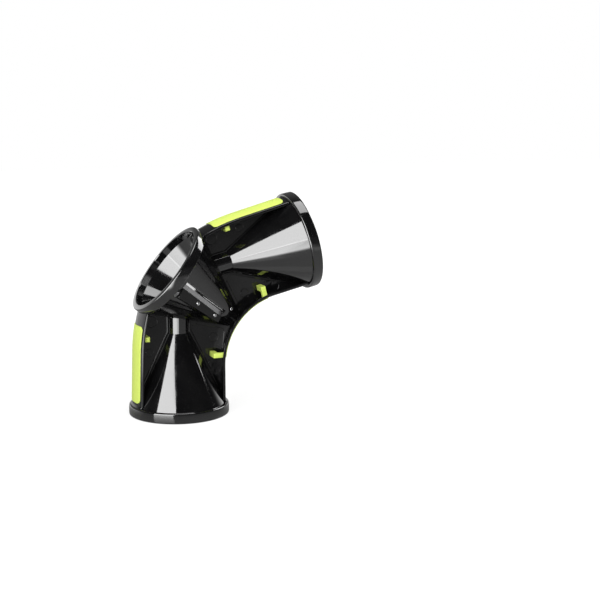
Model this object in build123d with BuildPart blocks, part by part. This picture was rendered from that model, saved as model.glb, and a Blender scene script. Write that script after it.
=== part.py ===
from build123d import *
import os
from math import asin, cos, degrees, radians, sin, sqrt, tan

# Hand spiralizer with three funnel mouths. A vegetable is pushed into one of the three
# mouths and turned by hand, as a pencil is in a sharpener, and the slice leaves through
# the slot in that funnel's wall. Two arms and a third funnel meet in one plate.
#
# Millimetres. The lower arm stands on its mouth ring. The origin is the middle of that
# ring's open face, Z is up, the plate lies in the XZ plane and the front faces -Y.

# ---- layout ----
arm_length = 93.0        # from the point where the axes meet to each arm's open face
third_reach = 11.0       # from that point to the third funnel's open face
half_angle = 52.0        # between each arm and the line of symmetry, degrees

# ---- mouth rings ----
mouth_r = 30.0           # bore that the vegetable enters
ring_wall = 4.0          # of a ring, round its bore
ring_height = 7.2        # along the axis
ring_bore = 5.0          # length of the bore, up to the step that the funnel butts on
ring_edge = 1.0          # rounding of the outer edges
ring_groove = 0.8        # depth of the groove between a ring and its funnel
collar_wall = 1.6        # of the funnel's collar, round the same bore

# ---- funnels ----
cone_angle = 26.0        # half angle, degrees
funnel_wall = 1.8        # square to the cone
core_r = 4.0             # inside of the closed small end
nub_r = 7.0              # cylinder at the small end of an arm's funnel
nub_step = 0.5           # ledge where the cone stops and that cylinder starts

# ---- frame ----
web_thickness = 2.4      # plate between the funnels
rim_wall = 1.8           # curved rim round the plate
rim_half_width = 12.5    # from the plate's middle to the rim's front and rear edge
rim_inset = 2.2          # of the rim's crown from the outside of a mouth ring
rim_taper = 1.9          # lean of the rim towards the arm's axis, degrees
bend_depth = 44.0        # depth at which the outer rim starts to bend inwards
bend_r = 120.0           # radius of that bend
rim_foot = 1.4           # flare of the rim where it meets a mouth ring
rim_stop = 3.6           # of the outer rims from the third funnel's open face
hollow_reach = 52.6      # from the meeting point to the crown of the hollow between arms
cradle_wall = 1.4        # shell of the frame round the third funnel
cradle_span = 106.0      # of each half of that shell, degrees
panel_depth = 0.5        # recess of the triangular panels of the plate
panel_round = 3.0        # rounding of their corners
panel_margin = 2.0       # land left round them
mark_groove = 0.5        # width of the round marks' grooves in the plate
bead_width = 1.3         # of the bead on the plate along each arm's funnel
bead_height = 0.9        # above the plate

# ---- slot, blade and what holds it ----
slot_turn = 1.0          # of the slot from the front or the rear of a funnel, degrees
slot_start = 2.0         # along the cone's side, from the ring
slot_gap = 1.4           # between the lip and the cutting edge
edge_reach = 0.4         # of the cutting edge past the inside of the funnel
blade_thickness = 0.6
blade_width = 9.0        # at the mouth end
blade_width_tip = 6.5    # at the small end
blade_tilt = 14.0        # of the blade out of the cone's side, degrees
blade_bevel = 1.2        # width of the ground edge
blade_land = 0.1         # thickness left at the edge
clamp_thickness = 1.8
clamp_setback = 3.4      # of the clamp behind the cutting edge
clamp_heel = 1.6         # ridge of the clamp behind the blade
clamp_round = 0.75       # of its corners
clamp_edge = 0.36        # chamfer round its top
rivet_r = 0.8
rivet_head_r = 1.5
rivet_head = 0.6
rivet_bite = 1.4         # length of the rivet in the carrier
head_taper = 22.5        # of rivet and screw heads, degrees
rivet_places = (0.42, 0.86)   # along the blade, as shares of its length
carrier_lip_span = 35.0  # of the carrier on the lip side of the slot, degrees
carrier_pad_span = 33.0  # and on the blade's side
carrier_flange = 0.8     # of the carrier, on the outside of the funnel
carrier_lap = 4.0        # of that flange past the window's sides, degrees
carrier_near = 1.2       # of the window from the ring
carrier_foot = 4.5       # of the flange past the window, for its screw
carrier_end = 0.4        # of the flange from the ledge at the small end
slot_land = 1.8          # between the slot's end and the window's end
boss_depth = 5.0         # of the block under the blade
screw_r = 0.7
screw_head_r = 1.6
screw_head = 0.5
screw_bite = 1.2         # length of the screw in the funnel's wall
screw_turn = 27.0        # of the screw from the slot, towards the lip, degrees
screw_inset = 2.2        # of the screw from the flange's end

# ---- combs that turn a ribbon into strings ----
comb_thickness = 0.5
comb_width = 3.0         # of the strip that carries the teeth
comb_drop = 0.5          # of its seat below the carrier's outside
tooth_length = 0.8       # along the cut
tooth_reach = 1.6        # past the inside of the funnel
comb_pitch = {"bottom": 5.0, "right": 2.5}

# ---- soft grips ----
grip_half_width = 10.8
grip_depth = 0.9         # let into the rim
grip_proud = 0.4
grip_start = 3.2         # from the mouth ring
grip_length = 52.0
grip_round = 3.0
hollow_grip_span = 66.0  # of the grip in the hollow, degrees
lug_size = 3.4           # square bar through the plate, beside the rim
lug_inset = 8.2          # from the rim's crown beside the ring to the bar's middle
lug_depth = 53.6         # of the outer grips' lugs, from the open face
lug_half_length = 10.7   # of the bar, either side of the plate's middle
leg_width = 3.0          # of the leg that joins the bar to the strip, along Y
hollow_lug_depth = 39.2  # of the lugs in the hollow, from the open face

# round marks in the plate: depth from the open face, distance from the arm's axis, radius
plate_marks = [(64.0, 18.7, 4.0), (43.0, 20.5, 3.0), (50.5, -24.5, 3.4), (31.8, -22.9, 2.7)]

# ---- fits ----
fit_gap = 0.05           # round a seated piece
lead = 1.0               # overshoot of cutting tools

os.makedirs("parts", exist_ok=True)


# ---------------------------------------------------------------- derived places

sin_cone, cos_cone, tan_cone = (f(radians(cone_angle)) for f in (sin, cos, tan))
inner_apex = ring_bore + mouth_r / tan_cone            # depths from an open face
outer_apex = inner_apex + funnel_wall / sin_cone
ring_r = mouth_r + ring_wall
collar_r = mouth_r + collar_wall
rim_r = ring_r - rim_inset
across = 2 * arm_length                                # longer than any piece
core_depth = inner_apex - core_r / tan_cone
nub_depth = outer_apex - (nub_r + nub_step) / tan_cone
nub_end = arm_length - third_reach
cone_r_at_ring = (outer_apex - ring_height) * tan_cone
tip_depth = third_reach + hollow_reach - rim_wall
window_near = ring_height + carrier_near
flange_far = nub_depth - carrier_end
window_far = flange_far - carrier_foot
slot_length = (window_far - slot_land - ring_height) / cos_cone - slot_start
hollow_centre = (hollow_reach - rim_r) / (1 - sin(radians(half_angle)))
hollow_r = hollow_centre - hollow_reach
hollow_depth = arm_length - hollow_centre * cos(radians(half_angle))

meeting = Vector(0, 0, arm_length)
front = Vector(0, -1, 0)
bottom_out = Vector(0, 0, -1)
right_out = Vector(sin(radians(2 * half_angle)), 0, -cos(radians(2 * half_angle)))
third_out = Vector(-sin(radians(half_angle)), 0, cos(radians(half_angle)))
symmetry = Plane(origin=meeting, x_dir=third_out, z_dir=third_out.cross(front))


def turned(base, angle):
    """The same mouth plane, turned about its axis from x towards y."""
    x_dir = base.x_dir * cos(radians(angle)) + base.y_dir * sin(radians(angle))
    return Plane(origin=base.origin, x_dir=x_dir, z_dir=base.z_dir)


def mouth_plane(outwards, reach, facing):
    """A plane on a mouth's open face, z into the funnel, x to the side where its slot is."""
    square = Plane(origin=meeting + outwards * reach, x_dir=facing, z_dir=outwards * -1)
    return turned(square, slot_turn)


mouths = {
    "bottom": mouth_plane(bottom_out, arm_length, front * -1),
    "right": mouth_plane(right_out, arm_length, front * -1),
    "third": mouth_plane(third_out, third_reach, front),
}


def section(base, angle=0.0):
    """The half plane through a mouth's axis: x is the radius, y the depth."""
    base = turned(base, angle)
    return Plane(origin=base.origin, x_dir=base.x_dir, z_dir=base.y_dir * -1)


def axis_of(base):
    return Axis(base.origin, base.z_dir)


def cone_side(base, drop=0.0):
    """The plane that touches the cone's outside along the slot's lip.

    x runs down the cone's side to the small end, z points out of the funnel, and y points
    across the slot to the lip. The origin is beside the mouth ring.
    """
    down = base.z_dir * cos_cone - base.x_dir * sin_cone
    out = base.x_dir * cos_cone + base.z_dir * sin_cone
    start = base.origin + base.x_dir * cone_r_at_ring + base.z_dir * ring_height
    return Plane(origin=start - out * drop, x_dir=down, z_dir=out)


def blade_seat(base):
    """The plane of the blade's underside: its x axis is the cutting edge, y points to the lip."""
    side = cone_side(base, funnel_wall + edge_reach)
    tilt = radians(blade_tilt)
    out = side.z_dir * cos(tilt) + side.y_dir * sin(tilt)
    start = side.origin + side.x_dir * slot_start - side.y_dir * slot_gap
    return Plane(origin=start, x_dir=side.x_dir, z_dir=out)


def save(part, name):
    part.label = name
    export_step(part, f"parts/{name}.step")


def radius_at(depth, offset=0.0):
    """Radius of the cone's outside at a depth, grown by an offset square to the cone."""
    return (outer_apex - depth) * tan_cone + offset / cos_cone


def cone_band(base, near, far, inside, outside, start, span, mode=Mode.ADD):
    """A sector of a conical shell between two depths and two offsets from the cone's outside."""
    with BuildSketch(section(base, start)) as profile:
        with BuildLine():
            Polyline(
                (radius_at(near, inside), near), (radius_at(near, outside), near),
                (radius_at(far, outside), far), (radius_at(far, inside), far), close=True,
            )
        make_face()
    revolve(profile.sketch, axis=axis_of(base), revolution_arc=span, mode=mode)


def cone_room(base, near, offset, mode=Mode.SUBTRACT):
    """A solid cone down to its point, for cutting."""
    with BuildSketch(section(base)) as profile:
        with BuildLine():
            Polyline(
                (0, near), (radius_at(near, offset), near),
                (0, outer_apex + offset / sin_cone), close=True,
            )
        make_face()
    revolve(profile.sketch, axis=axis_of(base), mode=mode)


# ---------------------------------------------------------------- mouth rings


def make_ring(base):
    """A collar pressed over the funnel's mouth; its bore guides the vegetable."""
    skirt_r = collar_r + fit_gap
    with BuildPart() as ring:
        with BuildSketch(section(base)):
            with BuildLine():
                Polyline(
                    (mouth_r, 0), (ring_r, 0), (ring_r, ring_height),
                    (skirt_r, ring_height), (skirt_r, ring_bore), (mouth_r, ring_bore),
                    close=True,
                )
            make_face()
            fillet(vertices().group_by(Axis.X)[-1], ring_edge)
        revolve(axis=axis_of(base))
    return ring.part


for name, base in mouths.items():
    save(make_ring(base), f"mouth_ring_{name}")


# ---------------------------------------------------------------- funnels


def carrier_window(base):
    """The opening in a funnel's wall that its blade carrier plugs."""
    slack = degrees(fit_gap / core_r)
    start = -carrier_lip_span - slack
    span = carrier_lip_span + carrier_pad_span + 2 * slack
    inner = -funnel_wall - lead
    near, far = window_near - fit_gap, window_far + fit_gap
    cone_band(base, near, far, inner, lead, start, span, Mode.SUBTRACT)


def screw_plane(base, level):
    """The seat of the carrier's screw, on the cone's side at the small end."""
    depth = flange_far - screw_inset
    spoke = turned(base, -screw_turn)
    out = spoke.x_dir * cos_cone + spoke.z_dir * sin_cone
    seat = spoke.origin + spoke.x_dir * radius_at(depth) + spoke.z_dir * depth
    return Plane(origin=seat + out * level, z_dir=out)


def screw_hole(base):
    with BuildSketch(screw_plane(base, lead + carrier_flange)) as hole:
        Circle(screw_r)
    extrude(hole.sketch, amount=-(lead + carrier_flange + screw_bite), mode=Mode.SUBTRACT)


def seat_outline(grow=0.0, reach=None):
    """Outline of the blade and the ridge behind it on the blade's seat, open to the lip."""
    lip = slot_gap / cos(radians(blade_tilt)) if reach is None else reach
    mouth_end = -blade_width - clamp_heel - grow
    small_end = -blade_width_tip - clamp_heel - grow
    return [
        (-grow, lip), (slot_length + grow, lip), (slot_length + grow, small_end), (-grow, mouth_end),
    ]


def rivet_spots():
    """Middles of a blade's two rivets on its seat."""
    spots = []
    for share in rivet_places:
        width = blade_width + (blade_width_tip - blade_width) * share
        spots.append((slot_length * share, -(clamp_setback + width) / 2))
    return spots


def blade_room(base, grow):
    """Cuts away all that stands over the blade's seat, out of the funnel."""
    with BuildSketch(blade_seat(base)) as room:
        with BuildLine():
            Polyline(*seat_outline(grow=grow), close=True)
        make_face()
    extrude(room.sketch, amount=2 * boss_depth, mode=Mode.SUBTRACT)


def rivet_holes(base, grow):
    """Cuts the blind holes under the blade's seat for its rivets."""
    with BuildSketch(blade_seat(base)) as holes:
        with Locations(*rivet_spots()):
            Circle(rivet_r + grow)
    extrude(holes.sketch, amount=-rivet_bite, mode=Mode.SUBTRACT)


def funnel_block(base, arm, grow=0.0):
    """A funnel without its inside, or, grown a little, the room that the frame leaves for it."""
    groove = ring_height - ring_groove
    if arm:
        small_end = [
            (nub_r + nub_step + grow, nub_depth + grow), (nub_r + grow, nub_depth + grow),
            (nub_r + grow, nub_end), (0, nub_end),
        ]
    else:
        small_end = [(radius_at(tip_depth, grow), tip_depth), (0, tip_depth)]
    with BuildPart() as block:
        with BuildSketch(section(base)) as profile:
            with BuildLine():
                Polyline(
                    (0, ring_bore), (collar_r, ring_bore), (collar_r, groove),
                    (radius_at(groove, grow), groove), *small_end, close=True,
                )
            make_face()
        revolve(profile.sketch, axis=axis_of(base))
        if arm:
            cone_room(mouths["third"], ring_height, cradle_wall + 2 * fit_gap - grow)
    return block.part


def make_funnel(base, arm):
    """A closed cone with a collar at the mouth and a window for the blade carrier."""
    with BuildPart() as funnel:
        add(funnel_block(base, arm))
        with BuildSketch(section(base)):
            with BuildLine():
                Polyline(
                    (0, ring_bore), (mouth_r, ring_bore), (core_r, core_depth),
                    (0, core_depth), close=True,
                )
            make_face()
        revolve(axis=axis_of(base), mode=Mode.SUBTRACT)
        carrier_window(base)
        screw_hole(base)
        blade_room(base, 2 * fit_gap)
        rivet_holes(base, 2 * fit_gap)
    return funnel.part


for name, base in mouths.items():
    save(make_funnel(base, arm=name != "third"), f"funnel_{name}")


# ---------------------------------------------------------------- blade carriers


def make_carrier(base, comb):
    """The moulded insert with the slot: a plug in the window and a flange on the outside."""
    seat = blade_seat(base)
    with BuildPart() as carrier:
        with BuildSketch(seat):
            with BuildLine():
                Polyline(*seat_outline(reach=-slot_gap), close=True)
            make_face()
        extrude(amount=-boss_depth)
        cone_room(base, 0, 0)
        cone_band(base, ring_height + fit_gap, flange_far, fit_gap, carrier_flange,
                  -carrier_lip_span - carrier_lap,
                  carrier_lip_span + carrier_pad_span + 2 * carrier_lap)
        cone_band(base, window_near, window_far, -funnel_wall, carrier_flange / 2,
                  -carrier_lip_span, carrier_lip_span + carrier_pad_span)
        blade_room(base, fit_gap)
        rivet_holes(base, fit_gap)
        if comb:
            with BuildSketch(comb_seat(base)):
                with Locations((slot_length / 2, comb_width / 2)):
                    Rectangle(slot_length, comb_width + 2 * fit_gap)
            extrude(amount=boss_depth, mode=Mode.SUBTRACT)
        screw_hole(base)
    return carrier.part


def comb_seat(base):
    """The flat land beside the lip that a comb's strip lies on."""
    side = cone_side(base, comb_drop - carrier_flange)
    return Plane(origin=side.origin + side.x_dir * slot_start, x_dir=side.x_dir, z_dir=side.z_dir)


for name, base in mouths.items():
    save(make_carrier(base, name in comb_pitch), f"blade_carrier_{name}")


# ---------------------------------------------------------------- blades, clamps and combs


def make_blade(base):
    """A flat stainless strip, wider at the mouth, ground on its outer face."""
    seat = blade_seat(base)
    with BuildPart() as blade:
        with BuildSketch(seat):
            with BuildLine():
                Polyline(
                    (0, 0), (slot_length, 0), (slot_length, -blade_width_tip),
                    (0, -blade_width), close=True,
                )
            make_face()
            with Locations(*rivet_spots()):
                Circle(rivet_r + fit_gap, mode=Mode.SUBTRACT)
        extrude(amount=blade_thickness)
        profile = Plane(
            origin=seat.origin - seat.x_dir * lead, x_dir=seat.y_dir, z_dir=seat.x_dir
        )
        with BuildSketch(profile):
            with BuildLine():
                Polyline(
                    (0, blade_land), (-blade_bevel, blade_thickness),
                    (0, blade_thickness + lead), (lead, blade_thickness), close=True,
                )
            make_face()
        extrude(amount=slot_length + 2 * lead, mode=Mode.SUBTRACT)
    return blade.part


def make_clamp(base):
    """The bar that holds a blade down, with a ridge behind the blade."""
    seat = blade_seat(base)
    above = seat.offset(blade_thickness)
    with BuildPart() as clamp:
        with BuildSketch(above):
            with BuildLine():
                Polyline(*seat_outline(reach=-clamp_setback), close=True)
            make_face()
            fillet(vertices().group_by(Axis.X)[0], clamp_round)
            fillet(vertices().group_by(Axis.X)[-1], clamp_round)
        extrude(amount=clamp_thickness)
        top = faces().sort_by(Axis(seat.origin, seat.z_dir))[-1]
        chamfer(top.edges(), clamp_edge)
        with BuildSketch(seat):
            with BuildLine():
                Polyline(
                    (0, -blade_width - fit_gap), (slot_length, -blade_width_tip - fit_gap),
                    (slot_length - rivet_r, -blade_width_tip - clamp_heel + fit_gap),
                    (rivet_r, -blade_width - clamp_heel + fit_gap), close=True,
                )
            make_face()
        extrude(amount=blade_thickness)
        with BuildSketch(above):
            with Locations(*rivet_spots()):
                Circle(rivet_r + fit_gap)
        extrude(amount=clamp_thickness, mode=Mode.SUBTRACT)
    return clamp.part


def make_comb(base, pitch):
    """A stainless strip beside the lip, with teeth that reach through the slot."""
    seat = comb_seat(base)
    count = int((slot_length - pitch) / pitch)
    margin = (slot_length - (count - 1) * pitch) / 2
    depth = carrier_flange - comb_drop + funnel_wall
    clear = 2 * fit_gap
    with BuildPart() as comb:
        with BuildSketch(seat):
            with Locations((slot_length / 2, comb_width / 2)):
                Rectangle(slot_length - 2 * clear, comb_width)
        extrude(amount=comb_thickness)
        for i in range(count):
            at = seat.origin + seat.x_dir * (margin + i * pitch - comb_thickness / 2)
            with BuildSketch(Plane(origin=at, x_dir=seat.y_dir, z_dir=seat.x_dir)):
                with BuildLine():
                    Polyline(
                        (tooth_length, 0), (tooth_length, comb_thickness),
                        (-tooth_length - clear, comb_thickness),
                        (-tooth_length - clear, -depth),
                        (-clear - tooth_length / 2, -depth - tooth_reach),
                        (-clear, -depth), (-clear, 0), close=True,
                    )
                make_face()
            extrude(amount=comb_thickness)
    return comb.part


for name, base in mouths.items():
    save(make_blade(base), f"blade_{name}")
    save(make_clamp(base), f"blade_clamp_{name}")
for name, pitch in comb_pitch.items():
    save(make_comb(mouths[name], pitch), f"string_comb_{name}")


# ---------------------------------------------------------------- rivets and screws

with BuildPart() as rivets:
    for base in mouths.values():
        seat = blade_seat(base)
        with BuildSketch(seat.offset(-rivet_bite)):
            with Locations(*rivet_spots()):
                Circle(rivet_r)
        extrude(amount=rivet_bite + blade_thickness + clamp_thickness)
        with BuildSketch(seat.offset(blade_thickness + clamp_thickness)):
            with Locations(*rivet_spots()):
                Circle(rivet_head_r)
        extrude(amount=rivet_head, taper=head_taper)
save(rivets.part, "blade_rivets")

with BuildPart() as screws:
    for base in mouths.values():
        head = screw_plane(base, carrier_flange)
        with BuildSketch(head):
            Circle(screw_r - fit_gap)
        extrude(amount=-(carrier_flange + screw_bite))
        with BuildSketch(head):
            Circle(screw_head_r)
        extrude(amount=screw_head, taper=head_taper)
save(screws.part, "carrier_screws")


# ---------------------------------------------------------------- frame and grips

# The lower arm's half of the frame is drawn on this plane, x being the depth from the
# lower mouth and y the distance from that arm's axis, away from the hollow. The other
# half is its mirror image.
half = Plane(origin=(0, 0, 0), x_dir=(0, 0, 1), z_dir=front)
third_axis = Vector(cos(radians(half_angle)), sin(radians(half_angle)))
third_mouth = Vector(arm_length, 0) + third_axis * third_reach
hollow_point = Vector(arm_length, 0) - third_axis * hollow_reach
rim_lean = Vector(cos(radians(rim_taper)), -sin(radians(rim_taper)))
bend_span = degrees(asin((arm_length - bend_depth) / bend_r))


def outer_route(inset=0.0):
    """The crown of the outer rim, from the mouth ring past the third funnel's ring."""
    start = Vector(ring_height, rim_r - inset)
    bend = start + rim_lean * (bend_depth - ring_height)
    Line(start, bend)
    return JernArc(bend, rim_lean, bend_r - inset, -bend_span)


def hollow_route(inset=0.0):
    """The crown of the rim in the hollow between the arms, from the mouth ring to its middle."""
    start = Vector(ring_height, inset - rim_r)
    turn = Vector(hollow_depth, inset - rim_r)
    Line(start, turn)
    return JernArc(turn, (1, 0), hollow_r + inset, half_angle - 90)


def rim_band(crown, inner, half_width, outwards, heading):
    """A rim's curved cross-section, centred on the arm's axis, square to its heading."""
    start = half.from_local_coords((ring_height, outwards * rim_r))
    x_dir = half.y_dir * outwards
    z_dir = half.x_dir * heading.X + half.y_dir * heading.Y
    with BuildSketch(Plane(origin=start, x_dir=x_dir, z_dir=z_dir)) as band:
        with Locations((-rim_r, 0)):
            Circle(rim_r + crown)
            Circle(rim_r - inner, mode=Mode.SUBTRACT)
        with Locations((-rim_r / 2, 0)):
            Rectangle(rim_r + 2 * lead, 2 * half_width, mode=Mode.INTERSECT)
    return band.sketch


def rim_foot_ring(base):
    """The flare that closes the step between the rims and a mouth ring."""
    with BuildSketch(section(base)) as profile:
        with BuildLine():
            Polyline(
                (rim_r - rim_wall, ring_height), (rim_r + rim_foot / 2, ring_height),
                (rim_r, ring_height + rim_foot),
                (rim_r - rim_wall, ring_height + rim_foot), close=True,
            )
        make_face()
    revolve(profile.sketch, axis=axis_of(base))


def crossing(point, along, other, across):
    """Where a line through one point meets a line through another, in the half's plane."""
    scale = along.X * across.Y - along.Y * across.X
    gap = other - point
    return point + along * ((gap.X * across.Y - gap.Y * across.X) / scale)


def bead_outline(side):
    """The bead along one side of an arm's funnel, from the ring to the third funnel."""
    beside_nub, inside_nub = nub_r + bead_width, nub_r - lead
    corners = [
        (ring_height, radius_at(ring_height, bead_width)), (nub_depth, radius_at(nub_depth, bead_width)),
        (nub_depth + bead_width, beside_nub), (nub_end, beside_nub), (nub_end, inside_nub),
        (nub_depth, inside_nub), (ring_height, radius_at(ring_height, -lead)),
    ]
    return [(depth, side * offset) for depth, offset in corners]


def panel_corners():
    """The triangle of plate between an arm's funnel, the third funnel and the hollow."""
    toward_arm = Vector(-third_axis.Y, third_axis.X)
    arm_side = Vector(-cos_cone, -sin_cone)
    arm_start = Vector(outer_apex, 0) + Vector(sin_cone, -cos_cone) * panel_margin
    third_side = third_axis * cos_cone + toward_arm * sin_cone
    third_start = third_mouth - third_axis * outer_apex
    third_start += (toward_arm * cos_cone - third_axis * sin_cone) * (cradle_wall + panel_margin)
    inner = crossing(arm_start, arm_side, third_start, third_side)
    rim_side = Vector(0, rim_wall + panel_margin - rim_r)
    beside_ring = crossing(arm_start, arm_side, rim_side, Vector(1, 0))
    toward_tip = (outer_apex - tip_depth + 2 * panel_margin) / cos_cone
    return inner, beside_ring, third_start + third_side * toward_tip


def outer_crown(depth):
    """Distance from the arm's axis to the outer rim's crown, past the start of its bend."""
    start = Vector(ring_height, rim_r) + rim_lean * (bend_depth - ring_height)
    centre = start - Vector(-rim_lean.Y, rim_lean.X) * bend_r
    return centre.Y + sqrt(bend_r**2 - (depth - centre.X) ** 2)


def hollow_crown(depth):
    """The same for the rim in the hollow."""
    past = max(0.0, depth - hollow_depth)
    return rim_r + hollow_r - sqrt(hollow_r**2 - past**2)


with BuildLine() as outer_line:
    outer_route()
with BuildLine() as hollow_line:
    hollow_route()
outer_path = half.from_local_coords(outer_line.wires()[0])
hollow_path = half.from_local_coords(hollow_line.wires()[0])

def strip_in_rim(path, outwards, heading, crown, grow=0.0):
    """The body of a soft strip, or the recess for it, along a rim."""
    width = grip_half_width + grow
    if outwards > 0:
        middle = Vector(ring_height + grip_start + grip_length / 2, 0)
        x_dir, z_dir = half.x_dir, half.y_dir
        length = grip_length
    else:
        middle = Vector(arm_length, 0)
        x_dir, z_dir = symmetry.z_dir, third_out * -1
        length = 2 * hollow_r * sin(radians(hollow_grip_span / 2))
    plan = Plane(origin=half.from_local_coords(middle), x_dir=x_dir, z_dir=z_dir)
    with BuildPart() as strip:
        sweep(rim_band(crown, grip_depth, width, outwards, heading), path=path)
        with BuildSketch(plan):
            RectangleRounded(length + 2 * grow, 2 * width, grip_round + grow)
        extrude(amount=across, mode=Mode.INTERSECT)
    return strip.part


def lug_bars(depth, outwards, crown, grow=0.0):
    """A square bar through the plate, joined at both ends to the strip by legs through the rim."""
    reach = rim_r - lug_inset
    sag = rim_r - sqrt(rim_r**2 - (lug_half_length - leg_width / 2) ** 2)
    leg_end = crown - sag - (grip_depth if grow == 0 else 0) / 2
    size = lug_size + 2 * grow
    with BuildPart() as lug:
        with BuildSketch(half):
            with Locations((depth, outwards * reach)):
                Rectangle(size, size)
        extrude(amount=lug_half_length + grow, both=True)
        for side in (1, -1):
            leg_plane = half.offset(side * (lug_half_length - leg_width / 2))
            with BuildSketch(leg_plane):
                with Locations((depth, outwards * (reach + leg_end) / 2)):
                    Rectangle(size, leg_end - reach)
            extrude(amount=leg_width / 2 + grow, both=True)
    return lug.part


lean, straight = rim_lean, Vector(1, 0)
outer_lug = (lug_depth, 1, outer_crown(lug_depth))
hollow_lug = (hollow_lug_depth, -1, hollow_crown(hollow_lug_depth))

with BuildPart() as frame:
    # flares beside the mouth ring, trimmed to the rims' width
    rim_foot_ring(mouths["bottom"])
    with BuildSketch(half):
        with Locations((ring_height, 0)):
            Rectangle(4 * rim_foot, 2 * ring_r)
    extrude(amount=rim_half_width, both=True, mode=Mode.INTERSECT)
    # plate
    with BuildSketch(half):
        with BuildLine():
            outer_end = outer_route(rim_wall / 2) @ 1
            hollow_end = hollow_route(rim_wall / 2) @ 1
            Polyline(outer_end, third_mouth, hollow_end)
            Line((ring_height, rim_r - rim_wall / 2), (ring_height, rim_wall / 2 - rim_r))
        make_face()
    extrude(amount=web_thickness / 2, both=True)
    # beads along the arm's funnel
    for side in (1, -1):
        with BuildSketch(half):
            with BuildLine():
                Polyline(*bead_outline(side), close=True)
            make_face()
        extrude(amount=web_thickness / 2 + bead_height, both=True)
    # recessed panel and round marks, on both faces of the plate
    for side in (1, -1):
        face = half.offset(side * web_thickness / 2)
        with BuildSketch(face):
            with BuildLine():
                Polyline(*panel_corners(), close=True)
            make_face()
            fillet(vertices(), panel_round)
        extrude(amount=-side * panel_depth, mode=Mode.SUBTRACT)
        for depth, offset, radius in plate_marks:
            sunk = panel_depth if offset < 0 else 0
            with BuildSketch(face.offset(-side * sunk)):
                with Locations((depth, offset)):
                    Circle(radius)
                    Circle(radius - mark_groove, mode=Mode.SUBTRACT)
            extrude(amount=-side * mark_groove / 2, mode=Mode.SUBTRACT)
    # rims, with recesses for the soft strips and holes for their lugs
    sweep(rim_band(0, rim_wall, rim_half_width, 1, lean), path=outer_path)
    sweep(rim_band(0, rim_wall, rim_half_width, -1, straight), path=hollow_path)
    add(strip_in_rim(outer_path, 1, lean, lead, fit_gap), mode=Mode.SUBTRACT)
    add(strip_in_rim(hollow_path, -1, straight, lead, fit_gap), mode=Mode.SUBTRACT)
    add(lug_bars(*outer_lug, fit_gap), mode=Mode.SUBTRACT)
    add(lug_bars(*hollow_lug, fit_gap), mode=Mode.SUBTRACT)
    # half of the shell round the third funnel
    cone_band(mouths["third"], ring_height, tip_depth, fit_gap, fit_gap + cradle_wall,
              90 - slot_turn - cradle_span / 2, cradle_span)
    mirror(about=symmetry)
    # room for the funnels and their rings
    for name, base in mouths.items():
        add(funnel_block(base, name != "third", fit_gap), mode=Mode.SUBTRACT)
        with BuildSketch(base.offset(-2 * ring_height)):
            Circle(ring_r + fit_gap)
        extrude(amount=3 * ring_height, mode=Mode.SUBTRACT)
    with BuildSketch(mouths["third"].offset(rim_stop)):
        Rectangle(across, across)
    extrude(amount=-across, mode=Mode.SUBTRACT)
    # room for the third funnel's blade carrier
    slack = carrier_lap + degrees(fit_gap / core_r)
    cone_band(mouths["third"], ring_height, flange_far + 2 * fit_gap, 0, cradle_wall + lead,
              -carrier_lip_span - slack, carrier_lip_span + carrier_pad_span + 2 * slack,
              Mode.SUBTRACT)
    with BuildSketch(blade_seat(mouths["third"]).offset(-boss_depth)):
        with BuildLine():
            Polyline(*seat_outline(grow=2 * fit_gap), close=True)
        make_face()
    extrude(amount=2 * boss_depth, mode=Mode.SUBTRACT)
save(frame.part, "frame")


def make_grip(path, outwards, heading, lug):
    with BuildPart() as grip:
        add(strip_in_rim(path, outwards, heading, grip_proud))
        add(lug_bars(*lug))
    return grip.part


grip_bottom = make_grip(outer_path, 1, lean, outer_lug)
save(grip_bottom, "grip_bottom_arm")
with BuildPart() as grip_right:
    mirror(grip_bottom, about=symmetry)
save(grip_right.part, "grip_right_arm")
with BuildPart() as grip_hollow:
    add(make_grip(hollow_path, -1, straight, hollow_lug))
    mirror(about=symmetry)
save(grip_hollow.part, "grip_hollow")
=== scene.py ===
import bmesh
import bpy
from math import radians, sin, cos, tan, hypot
from mathutils import Vector, Matrix


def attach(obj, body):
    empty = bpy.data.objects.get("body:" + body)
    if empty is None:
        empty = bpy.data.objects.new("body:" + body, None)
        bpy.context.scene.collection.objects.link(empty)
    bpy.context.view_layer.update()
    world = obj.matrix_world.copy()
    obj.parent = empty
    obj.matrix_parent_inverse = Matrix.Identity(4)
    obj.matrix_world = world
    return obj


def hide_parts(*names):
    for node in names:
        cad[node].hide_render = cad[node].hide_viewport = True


# A hand spiralizer: two arms and a third funnel that meet in one plate. Each has a round
# mouth, a cone with a blade in its wall, and soft strips for the hand run along the rims.

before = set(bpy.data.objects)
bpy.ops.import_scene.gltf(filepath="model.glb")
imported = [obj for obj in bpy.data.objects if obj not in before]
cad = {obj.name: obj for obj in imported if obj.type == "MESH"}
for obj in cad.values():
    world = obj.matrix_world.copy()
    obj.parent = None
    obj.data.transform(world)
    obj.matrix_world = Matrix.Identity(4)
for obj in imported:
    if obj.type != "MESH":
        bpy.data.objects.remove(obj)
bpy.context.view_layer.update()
bpy.ops.object.select_all(action="DESELECT")


# Camera: in front of the lower mouth and to the left of it, a little above the plate, and
# looking slightly down.
bpy.ops.object.camera_add(location=(-0.2073, -0.7697, 0.2084))
camera = bpy.context.object
camera.name = "photo_camera"
sight = Vector((0.3539, 0.9210, -0.1630)).normalized()
camera.rotation_mode = "QUATERNION"
camera.rotation_quaternion = sight.to_track_quat("-Z", "Y")
camera.data.lens = 71.53
camera.data.sensor_width = 36.0
camera.data.clip_start = 0.01
bpy.context.scene.camera = camera
bpy.context.scene.view_settings.view_transform = "Standard"


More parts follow.
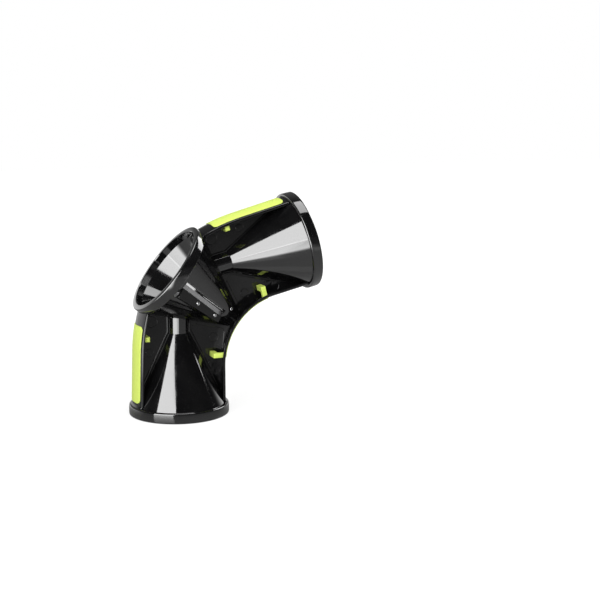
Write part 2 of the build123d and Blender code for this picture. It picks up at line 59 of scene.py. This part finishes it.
# Studio: a white table that keeps the tool's shadow, a white backdrop and a darker room in
# front. Soft boxes stand left, right and overhead, with a fill in front. In mirrors only, a
# painted glow on the table stands in for the left box going on below the table's edge and
# for a dim panel to the right.
table_size = 6.0
bpy.ops.mesh.primitive_grid_add(x_subdivisions=4, y_subdivisions=4, size=table_size,
                                location=(0, 0, 0))
floor = bpy.context.object
floor.name = "floor"


def wire(tree, start, end):
    """Joins two sockets, each given as (node, socket name or number)."""
    tree.links.new(start[0].outputs[start[1]], end[0].inputs[end[1]])


def sum_of(tree, operation, first, second):
    """A Math node on two outputs, each given as (node, socket name or number)."""
    node = tree.nodes.new("ShaderNodeMath")
    node.operation = operation
    wire(tree, first, (node, 0))
    wire(tree, second, (node, 1))
    return node


def product_of(tree, first, *others):
    """Several outputs multiplied, each given as (node, socket name or number)."""
    for other in others:
        first = (sum_of(tree, "MULTIPLY", first, other), 0)
    return first


def ramp_of(tree, source, low_in, high_in, low_out, high_out):
    """A smooth change of one output between two of its values."""
    node = tree.nodes.new("ShaderNodeMapRange")
    node.interpolation_type = "SMOOTHSTEP"
    for socket, value in zip(("From Min", "From Max", "To Min", "To Max"),
                             (low_in, high_in, low_out, high_out)):
        node.inputs[socket].default_value = value
    wire(tree, source, (node, "Value"))
    return node


table_white = bpy.data.materials.new("table_white")
table_white.use_nodes = True
tree = table_white.node_tree
tree.nodes.clear()
out = tree.nodes.new("ShaderNodeOutputMaterial")
matte = tree.nodes.new("ShaderNodeBsdfDiffuse")
matte.inputs["Color"].default_value = (0.22, 0.22, 0.22, 1)
glow = tree.nodes.new("ShaderNodeEmission")
both = tree.nodes.new("ShaderNodeAddShader")
place = tree.nodes.new("ShaderNodeTexCoord")
rays = tree.nodes.new("ShaderNodeLightPath")
reach = tree.nodes.new("ShaderNodeVectorMath")
reach.operation = "LENGTH"
wire(tree, (place, "Object"), (reach, 0))
split = tree.nodes.new("ShaderNodeSeparateXYZ")
wire(tree, (place, "Object"), (split, 0))
seen_glow = ramp_of(tree, (reach, "Value"), 0.1, 0.6, 0.80, 1.0)
behind_glow = ramp_of(tree, (split, "Y"), 0.15, 1.2, 0.02, 0.9)
# Painted glow, seen only in reflections: the left soft box's reflection on the table, and a dim
# panel to the right.
left_box_painted_glow = product_of(
    tree,
    (ramp_of(tree, (reach, "Value"), 0.15, 0.24, 0.0, 5.0), 0),
    (ramp_of(tree, (split, "X"), -0.07, -0.02, 1.0, 0.0), 0),
    (ramp_of(tree, (split, "Y"), -0.08, 0.0, 1.0, 0.0), 0))
right_painted_glow = product_of(
    tree,
    (ramp_of(tree, (split, "X"), 0.13, 0.24, 0.0, 0.32), 0),
    (ramp_of(tree, (split, "Y"), -0.68, -0.52, 0.0, 1.0), 0),
    (ramp_of(tree, (split, "Y"), -0.42, -0.28, 1.0, 0.0), 0))
front_glow = sum_of(tree, "ADD", left_box_painted_glow, right_painted_glow)
mirrored_glow = sum_of(tree, "ADD", (behind_glow, 0), (front_glow, 0))
clear = sum_of(tree, "MAXIMUM", (rays, "Is Camera Ray"), (rays, "Is Transmission Ray"))
seen = sum_of(tree, "MULTIPLY", (clear, 0), (seen_glow, 0))
mirrored = sum_of(tree, "MULTIPLY", (rays, "Is Glossy Ray"), (mirrored_glow, 0))
level = sum_of(tree, "ADD", (seen, 0), (mirrored, 0))
wire(tree, (level, 0), (glow, "Strength"))
wire(tree, (matte, 0), (both, 0))
wire(tree, (glow, 0), (both, 1))
polish = tree.nodes.new("ShaderNodeBsdfGlossy")
polish.inputs["Roughness"].default_value = 0.06
edge_on = tree.nodes.new("ShaderNodeFresnel")
edge_on.inputs["IOR"].default_value = 1.45
share = sum_of(tree, "MULTIPLY", (rays, "Is Glossy Ray"), (edge_on, 0))
table = tree.nodes.new("ShaderNodeMixShader")
wire(tree, (share, 0), (table, 0))
wire(tree, (both, 0), (table, 1))
wire(tree, (polish, 0), (table, 2))
wire(tree, (table, 0), (out, "Surface"))
floor.data.materials.append(table_white)

world = bpy.data.worlds.new("studio")
bpy.context.scene.world = world
world.use_nodes = True
tree = world.node_tree
tree.nodes.clear()
out = tree.nodes.new("ShaderNodeOutputWorld")
rays = tree.nodes.new("ShaderNodeLightPath")
way = tree.nodes.new("ShaderNodeTexCoord")
split = tree.nodes.new("ShaderNodeSeparateXYZ")
wire(tree, (way, "Generated"), (split, 0))
behind = product_of(
    tree,
    (ramp_of(tree, (split, "Y"), 0.1, 0.75, 0.05, 1.0), 0),
    (ramp_of(tree, (split, "Z"), 0.12, 0.28, 1.0, 0.12), 0))
room, mirrored_room, backdrop = (tree.nodes.new("ShaderNodeBackground") for _ in range(3))
for light in (room, mirrored_room, backdrop):
    light.inputs["Color"].default_value = (1, 1, 1, 1)
room.inputs["Strength"].default_value = 0.5
wire(tree, behind, (mirrored_room, "Strength"))
glossy, final = (tree.nodes.new("ShaderNodeMixShader") for _ in range(2))
wire(tree, (rays, "Is Glossy Ray"), (glossy, 0))
wire(tree, (room, 0), (glossy, 1))
wire(tree, (mirrored_room, 0), (glossy, 2))
clear = sum_of(tree, "MAXIMUM", (rays, "Is Camera Ray"), (rays, "Is Transmission Ray"))
wire(tree, (clear, 0), (final, 0))
wire(tree, (glossy, 0), (final, 1))
wire(tree, (backdrop, 0), (final, 2))
wire(tree, (final, 0), (out, "Surface"))


def soft_box(name, azimuth, elevation, distance, width, height, power):
    """A rectangular lamp aimed at the middle of the tool; azimuth 0 is in front of it."""
    middle = Vector((0.04, 0.0, 0.08))
    a, e = radians(azimuth), radians(elevation)
    back = Vector((sin(a) * cos(e), -cos(a) * cos(e), sin(e)))
    bpy.ops.object.light_add(type="AREA", location=middle + back * distance)
    lamp = bpy.context.object
    lamp.name = name
    lamp.rotation_mode = "QUATERNION"
    lamp.rotation_quaternion = (-back).to_track_quat("-Z", "Y")
    lamp.data.shape = "RECTANGLE"
    lamp.data.size = width
    lamp.data.size_y = height
    lamp.data.energy = power
    lamp.visible_camera = False
    return lamp


soft_box("soft_box_left", -52, 17, 1.4, 1.16, 1.04, 20.0)
soft_box("soft_box_right", 105, 30, 1.3, 0.8, 0.5, 5.0)
soft_box("soft_box_top", 8, 87, 1.2, 0.70, 0.72, 4.6)
fill = soft_box("fill_front", 8, 28, 1.4, 0.8, 0.8, 8.0)
fill.visible_glossy = False


# Frame: one black ABS moulding, the plate with its recessed panels, beads and round marks,
# the curved rims and the shell that the third funnel sits in. A little less polished than
# the funnels, with its edges rounded.
def own_copy(node, name, flats=True):
    """A copy of a CAD node's mesh with its doubles merged and, if asked, its flat faces whole."""
    piece = bpy.data.objects.new(name, cad[node].data.copy())
    bpy.context.collection.objects.link(piece)
    bpy.ops.object.select_all(action="DESELECT")
    piece.select_set(True)
    bpy.context.view_layer.objects.active = piece
    bpy.ops.object.mode_set(mode="EDIT")
    bpy.ops.mesh.select_all(action="SELECT")
    bpy.ops.mesh.customdata_custom_splitnormals_clear()
    bpy.ops.mesh.remove_doubles(threshold=0.000002)
    if flats:
        bpy.ops.mesh.dissolve_limited(angle_limit=radians(0.05))
    bpy.ops.mesh.normals_make_consistent(inside=False)
    bpy.ops.object.mode_set(mode="OBJECT")
    return piece


def shade_even(piece, sharpest=32):
    """Shades curved faces smooth and keeps the flat ones even."""
    bpy.ops.object.select_all(action="DESELECT")
    piece.select_set(True)
    bpy.context.view_layer.objects.active = piece
    bpy.ops.object.shade_smooth_by_angle(angle=radians(sharpest))
    flats = piece.modifiers.new("even_flats", "WEIGHTED_NORMAL")
    flats.keep_sharp = True
    flats.weight = 100
    bpy.ops.object.modifier_apply(modifier=flats.name)


def finish_piece(piece, finish, slot, *nodes):
    """Gives a piece its material and its place on the tool, and hides the CAD nodes it stands
    for. slot is not used.
    """
    piece.data.materials.clear()
    piece.data.materials.append(finish)
    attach(piece, "root")
    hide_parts(*nodes)


def plain_shader(name, colour, roughness, ior):
    """A new material's tree, shader and Object coordinates."""
    skin = bpy.data.materials.new(name)
    skin.use_nodes = True
    tree = skin.node_tree
    shader = tree.nodes["Principled BSDF"]
    shader.inputs["Base Color"].default_value = (*colour, 1)
    shader.inputs["Roughness"].default_value = roughness
    shader.inputs["IOR"].default_value = ior
    return skin, tree, shader, (tree.nodes.new("ShaderNodeTexCoord"), "Object")


def noise_on(tree, place, scale, detail):
    """A noise over the piece, from 0 to 1."""
    noise = tree.nodes.new("ShaderNodeTexNoise")
    noise.inputs["Scale"].default_value = scale
    noise.inputs["Detail"].default_value = detail
    wire(tree, place, (noise, "Vector"))
    return noise


def wander(tree, place, scale, low, high, shader, socket):
    """Lets a number of the shader wander between two values in soft patches."""
    noise = noise_on(tree, place, scale, 4.0)
    wire(tree, (ramp_of(tree, (noise, "Fac"), 0.3, 0.7, low, high), 0), (shader, socket))


def grain(tree, place, scale, strength, depth, shader):
    """A fine bump over the whole surface."""
    bump = tree.nodes.new("ShaderNodeBump")
    bump.inputs["Strength"].default_value = strength
    bump.inputs["Distance"].default_value = depth
    wire(tree, (noise_on(tree, place, scale, 2.0), "Fac"), (bump, "Height"))
    wire(tree, (bump, "Normal"), (shader, "Normal"))


def speckled(tree, place, scale, first, second, shader):
    """Two close colours in fine patches."""
    mix = tree.nodes.new("ShaderNodeMix")
    mix.data_type = "RGBA"
    mix.inputs[6].default_value = (*first, 1)
    mix.inputs[7].default_value = (*second, 1)
    noise = noise_on(tree, place, scale, 3.0)
    wire(tree, (ramp_of(tree, (noise, "Fac"), 0.35, 0.65, 0.0, 1.0), 0), (mix, 0))
    wire(tree, (mix, 2), (shader, "Base Color"))


satin_black, tree, shader, place = plain_shader(
    "satin_black_abs", (0.009, 0.009, 0.009), 0.13, 1.6)
speckled(tree, place, 90.0, (0.0030, 0.0030, 0.0032), (0.0046, 0.0046, 0.0048), shader)
wander(tree, place, 70.0, 0.10, 0.16, shader, "Roughness")
grain(tree, place, 900.0, 0.03, 0.00002, shader)

arm_length = 0.093  # from the meeting point of the axes to an arm's open face
meeting = Vector((0, 0, arm_length))
arm_spread = radians(104)  # between the two arms
right_axis = Vector((sin(arm_spread), 0, -cos(arm_spread)))
off_right_axis = Vector((-cos(radians(76)), 0, sin(radians(76))))


def pick(piece, kind, wanted):
    """Selects only those verts, edges or faces of a piece in edit mode that are wanted."""
    bpy.ops.mesh.select_mode(type=kind)
    bpy.ops.mesh.select_all(action="DESELECT")
    shape = bmesh.from_edit_mesh(piece.data)
    for item in {"VERT": shape.verts, "EDGE": shape.edges, "FACE": shape.faces}[kind]:
        if wanted(item):
            item.select_set(True)
    bmesh.update_edit_mesh(piece.data)


def is_corner(edge, sharpest=40):
    """Whether an edge stands out by more than an angle."""
    return edge.is_manifold and edge.is_convex and edge.calc_face_angle() > radians(sharpest)


def depth_band(edge, low, high):
    """Whether both ends of an edge lie between two distances in front of or behind the plate."""
    return all(low < abs(v.co.y) < high for v in edge.verts)


def beside_hollow(edge):
    """Whether an edge is on the side of the plate where the hollow for the hand is."""
    clear_of_axis = 0.002
    return all(v.co.x > clear_of_axis
               and (v.co - meeting).dot(off_right_axis) < -clear_of_axis for v in edge.verts)


plate_marks = ((0.0640, 0.0187, 0.0040), (0.0430, 0.0205, 0.0030),
               (0.0505, -0.0245, 0.0034), (0.0318, -0.0229, 0.0027))


def on_mark(edge):
    """Whether an edge runs round one of the marks, given by depth, side and radius."""
    for spot in (v.co for v in edge.verts):
        lower = (spot.z, -spot.x)
        right = (arm_length - (spot - meeting).dot(right_axis),
                 (spot - meeting).dot(off_right_axis))
        if not any(-0.0006 < hypot(arm[0] - depth, arm[1] - side) - radius < 0.0001
                   for arm in (lower, right) for depth, side, radius in plate_marks):
            return False
    return True


# bands of depth in which the edges lie
marked_faces = (0.0006, 0.0013)
rim_front = (0.0123, 0.0127)
bead_top = (0.00205, 0.00215)
plate_face = (0.00115, 0.00125)

body = own_copy("frame", "body_moulding", flats=False)
bpy.ops.object.mode_set(mode="EDIT")
for wanted, size, steps in (
        (lambda e: depth_band(e, *marked_faces) and on_mark(e), 0.00016, 2),
        (lambda e: depth_band(e, *rim_front), 0.0008, 3),
        (lambda e: depth_band(e, *bead_top), 0.0005, 3),
        (lambda e: depth_band(e, *plate_face) and beside_hollow(e) and not on_mark(e),
         0.00042, 3)):
    pick(body, "EDGE", lambda e: is_corner(e) and wanted(e))
    bpy.ops.mesh.bevel(offset=size, segments=steps, affect="EDGES")
bpy.ops.object.mode_set(mode="OBJECT")
shade_even(body)
finish_piece(body, satin_black, "frame", "frame")


# Mouth rings: three collars of polished black ABS, turned to one pattern and pressed over
# the funnels' mouths. The bore has a small lead-in and the back hides the funnel's rim.
front = Vector((0, -1, 0))
outwards = {
    "bottom": Vector((0, 0, -1)),
    "right": right_axis,
    "third": Vector((-sin(arm_spread / 2), 0, cos(arm_spread / 2))),
}
reach_of = {"bottom": arm_length, "right": arm_length, "third": 0.011}
slot_turn = radians(1.0)  # of a slot from the front or the rear


def axes_at(origin, x_dir, z_dir):
    """The placing of a piece that was modelled at the origin, from its new X and Z axes."""
    y_dir = z_dir.cross(x_dir)
    turn = Matrix((x_dir, y_dir, z_dir)).transposed()
    return Matrix.Translation(origin) @ turn.to_4x4()


def mouth_axes(mouth):
    """On a mouth's open face, Z into the funnel and X towards its slot."""
    z_dir = -outwards[mouth]
    x_dir = front if mouth == "third" else -front
    x_dir = Matrix.Rotation(slot_turn, 3, z_dir) @ x_dir
    return axes_at(meeting + outwards[mouth] * reach_of[mouth], x_dir, z_dir)


def turned_piece(name, profile, sides):
    """A turned shape, drawn out of a circle ring by ring, from (radius, height); it closes only
    where the profile ends where it starts.
    """
    bpy.ops.object.select_all(action="DESELECT")
    radius, height = profile[0]
    bpy.ops.mesh.primitive_circle_add(vertices=sides, radius=radius, location=(0, 0, height))
    piece = bpy.context.object
    piece.name = name
    bpy.ops.object.transform_apply(location=True, rotation=True, scale=True)
    bpy.ops.object.mode_set(mode="EDIT")
    bpy.ops.mesh.select_all(action="SELECT")
    for new_radius, new_height in profile[1:]:
        bpy.ops.mesh.extrude_edges_move()
        size = new_radius / radius
        bpy.ops.transform.resize(value=(size, size, size))
        bpy.ops.transform.translate(value=(0, 0, new_height - height))
        radius, height = new_radius, new_height
    bpy.ops.mesh.select_all(action="SELECT")
    bpy.ops.mesh.remove_doubles(threshold=0.000001)
    bpy.ops.mesh.normals_make_consistent(inside=False)
    bpy.ops.object.mode_set(mode="OBJECT")
    return piece


def put_at(piece, placing):
    """Moves a piece's mesh to its place and leaves its object at the origin."""
    bpy.ops.object.select_all(action="DESELECT")
    piece.select_set(True)
    bpy.context.view_layer.objects.active = piece
    piece.matrix_world = placing
    bpy.ops.object.transform_apply(location=True, rotation=True, scale=True)


gloss_black, tree, shader, place = plain_shader(
    "gloss_black_abs", (0.004, 0.004, 0.004), 0.08, 1.85)
shader.inputs["Coat Weight"].default_value = 1.0
shader.inputs["Coat Roughness"].default_value = 0.025
speckled(tree, place, 60.0, (0.0030, 0.0030, 0.0033), (0.0050, 0.0050, 0.0052), shader)
wander(tree, place, 120.0, 0.06, 0.11, shader, "Roughness")
grain(tree, place, 300.0, 0.03, 0.00001, shader)

ring_profile = [
    (0.0300, 0.0004), (0.0304, 0.0), (0.0330, 0.0), (0.03338, 0.00008), (0.03371, 0.00029),
    (0.03392, 0.00062), (0.0340, 0.0010), (0.0340, 0.0062), (0.03392, 0.00658),
    (0.03371, 0.00691), (0.03338, 0.00712), (0.0330, 0.0072), (0.0319, 0.0072),
    (0.03165, 0.00695), (0.03165, 0.0050), (0.0300, 0.0050), (0.0300, 0.0004),
]
for mouth in outwards:
    ring = turned_piece(f"mouth_collar_{mouth}", ring_profile, 160)
    put_at(ring, mouth_axes(mouth))
    bpy.ops.object.shade_smooth_by_angle(angle=radians(40))
    finish_piece(ring, gloss_black, "ring", f"mouth_ring_{mouth}")


# Funnels and blade carriers: polished black ABS cones with a window in the wall, and the
# insert with the slot that plugs it, lapped over the window's edges and screwed down.
for mouth in outwards:
    for node in (cad[f"funnel_{mouth}"], cad[f"blade_carrier_{mouth}"]):
        node.data.materials.clear()
        node.data.materials.append(gloss_black)


# Blades: stainless strips, wider at the mouth, brushed along their length. The cut that
# should grind the outer edge takes nothing off and leaves faces inside the strip, so the
# blades are square here, while the CAD blades have their ground edge.
cone_lean = radians(26.0)
ring_bore, ring_height, mouth_r, funnel_wall = 0.005, 0.0072, 0.030, 0.0018
nub_ledge_r = 0.0075  # where the cone stops at its small end
flange_gap, flange_foot, slot_land = 0.0004, 0.0045, 0.0018
slot_start, slot_gap, seat_depth = 0.002, 0.0014, 0.0022
blade_tilt = radians(14.0)
blade_width, blade_width_tip, blade_thickness = 0.0090, 0.0065, 0.0006
inner_apex = ring_bore + mouth_r / tan(cone_lean)
outer_apex = inner_apex + funnel_wall / sin(cone_lean)
slot_end = outer_apex - nub_ledge_r / tan(cone_lean) - flange_gap - flange_foot - slot_land
seat_length = (slot_end - ring_height) / cos(cone_lean) - slot_start


def seat_axes(mouth):
    """On the blade's underside, X along its edge, Y to the lip and Z out of the funnel."""
    place = mouth_axes(mouth)
    x_dir, y_dir, z_dir = (place.col[i].xyz for i in range(3))
    down = z_dir * cos(cone_lean) - x_dir * sin(cone_lean)
    out = x_dir * cos(cone_lean) + z_dir * sin(cone_lean)
    across = out.cross(down)
    cone_r = (outer_apex - ring_height) * tan(cone_lean)
    start = place.translation + x_dir * cone_r + z_dir * ring_height
    start += -out * seat_depth + down * slot_start - across * slot_gap
    tilted = out * cos(blade_tilt) + across * sin(blade_tilt)
    return axes_at(start, down, tilted)


def strip_piece(name, near_y, far_y, far_y_tip, low, high):
    """A strip along the seat, its back edge running from one offset to another."""
    bpy.ops.object.select_all(action="DESELECT")
    middle = Vector((seat_length / 2, (near_y + far_y) / 2, (low + high) / 2))
    bpy.ops.mesh.primitive_cube_add(size=1.0, location=middle)
    piece = bpy.context.object
    piece.name = name
    piece.scale = (seat_length, near_y - far_y, high - low)
    bpy.ops.object.transform_apply(location=True, rotation=True, scale=True)
    bpy.ops.object.mode_set(mode="EDIT")
    pick(piece, "VERT", lambda v: v.co.x > middle.x and v.co.y < middle.y)
    bpy.ops.transform.translate(value=(0, far_y_tip - far_y, 0))
    return piece


def own_uv(piece):
    """A UV map in the piece's own lengthwise and crosswise metres, before it is placed."""
    chart = piece.data.uv_layers.new(name="along_piece")
    for loop in piece.data.loops:
        spot = piece.data.vertices[loop.vertex_index].co
        chart.data[loop.index].uv = (spot.x, spot.y)


blade_steel, tree, shader, place = plain_shader(
    "ground_blade_steel", (0.86, 0.86, 0.87), 0.36, 1.5)
shader.inputs["Metallic"].default_value = 1.0
chart = tree.nodes.new("ShaderNodeUVMap")
chart.uv_map = "along_piece"
stretch = tree.nodes.new("ShaderNodeMapping")
stretch.inputs["Scale"].default_value = (60.0, 5200.0, 1.0)
wire(tree, (chart, "UV"), (stretch, "Vector"))
streaks = (stretch, "Vector")
wander(tree, streaks, 1.0, 0.30, 0.46, shader, "Roughness")
grain(tree, streaks, 1.0, 0.15, 0.00001, shader)

for mouth in outwards:
    blade = strip_piece(f"cutting_blade_{mouth}", 0.0, -blade_width, -blade_width_tip,
                        0.0, blade_thickness)
    bpy.ops.mesh.select_all(action="SELECT")
    bpy.ops.mesh.bisect(plane_co=(0, 0, 0.0001), plane_no=(0, 0.0005, 0.0012), use_fill=True,
                        clear_outer=True)
    bpy.ops.object.mode_set(mode="OBJECT")
    own_uv(blade)
    put_at(blade, seat_axes(mouth))
    bpy.ops.object.shade_smooth_by_angle(angle=radians(12))
    finish_piece(blade, blade_steel, "blade", f"blade_{mouth}")


# Clamps: a black moulded bar over each blade, with a ridge that the blade's back butts on.
# Its corners and its top edge are rounded.
clamp_setback, clamp_back, clamp_back_tip, clamp_top = 0.0034, 0.0106, 0.0081, 0.0024
ridge_start = Vector((0, -0.00905, 0))
for mouth in outwards:
    clamp = strip_piece(f"clamp_bar_{mouth}", -clamp_setback, -clamp_back, -clamp_back_tip,
                        blade_thickness, clamp_top)
    pick(clamp, "EDGE", lambda e: abs(e.verts[0].co.z - e.verts[1].co.z) > 0.001)
    bpy.ops.mesh.bevel(offset=0.00075, segments=4, affect="EDGES")
    pick(clamp, "EDGE", lambda e: all(v.co.z > 0.0023 for v in e.verts))
    bpy.ops.mesh.bevel(offset=0.00036, segments=3, affect="EDGES")
    bpy.ops.mesh.select_all(action="SELECT")
    away = Vector((-0.0025, seat_length, 0)).normalized()
    bpy.ops.mesh.bisect(plane_co=ridge_start, plane_no=away)
    pick(clamp, "FACE", lambda f: f.normal.z < -0.9
         and (f.calc_center_median() - ridge_start).dot(away) < 0)
    bpy.ops.mesh.extrude_region_move(
        TRANSFORM_OT_translate={"value": (0, 0, -blade_thickness)})
    bpy.ops.object.mode_set(mode="OBJECT")
    shade_even(clamp)
    put_at(clamp, seat_axes(mouth))
    finish_piece(clamp, satin_black, "clamp", f"blade_clamp_{mouth}")


# Combs: stainless strips let into the insert beside the lip, on the two arms only. Their
# teeth reach through the slot and split the ribbon into strings.
for mouth in ("bottom", "right"):
    comb = own_copy(f"string_comb_{mouth}", f"toothed_strip_{mouth}")
    own_uv(comb)
    shade_even(comb)
    finish_piece(comb, blade_steel, "comb", f"string_comb_{mouth}")


# Rivets and screws: two polished rivets through each clamp and blade, and one screw in the
# insert's foot, with domed heads. The screws have a round socket.
bright_steel, tree, shader, place = plain_shader("bright_steel", (0.80, 0.80, 0.81), 0.12, 1.5)
shader.inputs["Metallic"].default_value = 1.0
wander(tree, place, 700.0, 0.08, 0.2, shader, "Roughness")


def join_all(pieces, name):
    """Makes several meshes one piece."""
    bpy.ops.object.select_all(action="DESELECT")
    for piece in pieces:
        piece.select_set(True)
    bpy.context.view_layer.objects.active = pieces[0]
    bpy.ops.object.join()
    pieces[0].name = name
    return pieces[0]


rivet_profile = [
    (0.0008, -0.0014), (0.0008, 0.0024), (0.0015, 0.0024), (0.00150, 0.00252),
    (0.00138, 0.00272), (0.00112, 0.00288), (0.00075, 0.00297), (0.00035, 0.0030),
]
screw_profile = [
    (0.00065, -0.0012), (0.00065, 0.0008), (0.0016, 0.0008), (0.00160, 0.00092),
    (0.00148, 0.00112), (0.00120, 0.00126), (0.00085, 0.0013), (0.00070, 0.00128),
    (0.00066, 0.00095), (0.0003, 0.00092),
]


def close_ends(piece):
    """Fills the two open circles of a turned shape."""
    bpy.ops.object.mode_set(mode="EDIT")
    bpy.ops.mesh.select_mode(type="EDGE")
    bpy.ops.mesh.select_all(action="DESELECT")
    bpy.ops.mesh.select_non_manifold()
    bpy.ops.mesh.edge_face_add()
    bpy.ops.mesh.select_all(action="SELECT")
    bpy.ops.mesh.normals_make_consistent(inside=False)
    bpy.ops.object.mode_set(mode="OBJECT")


def screw_axes(mouth):
    """On the insert's foot, Z out of the cone's side."""
    place = mouth_axes(mouth)
    x_dir, y_dir, z_dir = (place.col[i].xyz for i in range(3))
    screw_inset, screw_turn = 0.0022, radians(-27.0)
    depth = outer_apex - nub_ledge_r / tan(cone_lean) - flange_gap - screw_inset
    turn = Matrix.Rotation(screw_turn, 3, z_dir)
    spoke = turn @ x_dir
    out = spoke * cos(cone_lean) + z_dir * sin(cone_lean)
    start = place.translation + spoke * ((outer_apex - depth) * tan(cone_lean)) + z_dir * depth
    return axes_at(start, out.cross(turn @ y_dir), out)


rivets, screws = [], []
for mouth in outwards:
    for share in (0.42, 0.86):
        rivet = turned_piece("rivet", rivet_profile, 28)
        close_ends(rivet)
        width = blade_width - (blade_width - blade_width_tip) * share
        spot = Matrix.Translation((seat_length * share, -(clamp_setback + width) / 2, 0))
        put_at(rivet, seat_axes(mouth) @ spot)
        rivets.append(rivet)
    screw = turned_piece("screw", screw_profile, 28)
    close_ends(screw)
    put_at(screw, screw_axes(mouth))
    screws.append(screw)
for fasteners, name, node in ((rivets, "blade_rivet_set", "blade_rivets"),
                              (screws, "insert_screw_set", "carrier_screws")):
    joined = join_all(fasteners, name)
    bpy.ops.object.shade_smooth_by_angle(angle=radians(35))
    finish_piece(joined, bright_steel, "fastener", node)


# Grips: soft lime rubber strips let into the rims for the hand, with pegs that come through
# the plate. The strips' edges and the pegs' ends are rounded.
lime_rubber, tree, shader, place = plain_shader("lime_soft_rubber", (0.58, 0.70, 0.13), 0.5, 1.45)
speckled(tree, place, 700.0, (0.565, 0.70, 0.122), (0.605, 0.735, 0.140), shader)
wander(tree, place, 160.0, 0.42, 0.56, shader, "Roughness")
grain(tree, place, 1800.0, 0.10, 0.00003, shader)

peg_end = (0.01067, 0.01073)
for node in ("grip_bottom_arm", "grip_right_arm", "grip_hollow"):
    grip = own_copy(node, node.replace("grip", "soft_strip"), flats=False)
    bpy.ops.object.mode_set(mode="EDIT")
    pick(grip, "EDGE", lambda e: is_corner(e) and depth_band(e, *peg_end))
    bpy.ops.mesh.bevel(offset=0.0008, segments=4, affect="EDGES")
    pick(grip, "EDGE", lambda e: is_corner(e, 50) and not depth_band(e, 0.0, 0.01075))
    bpy.ops.mesh.bevel(offset=0.0003, segments=3, affect="EDGES")
    bpy.ops.object.mode_set(mode="OBJECT")
    shade_even(grip)
    finish_piece(grip, lime_rubber, "grip", node)
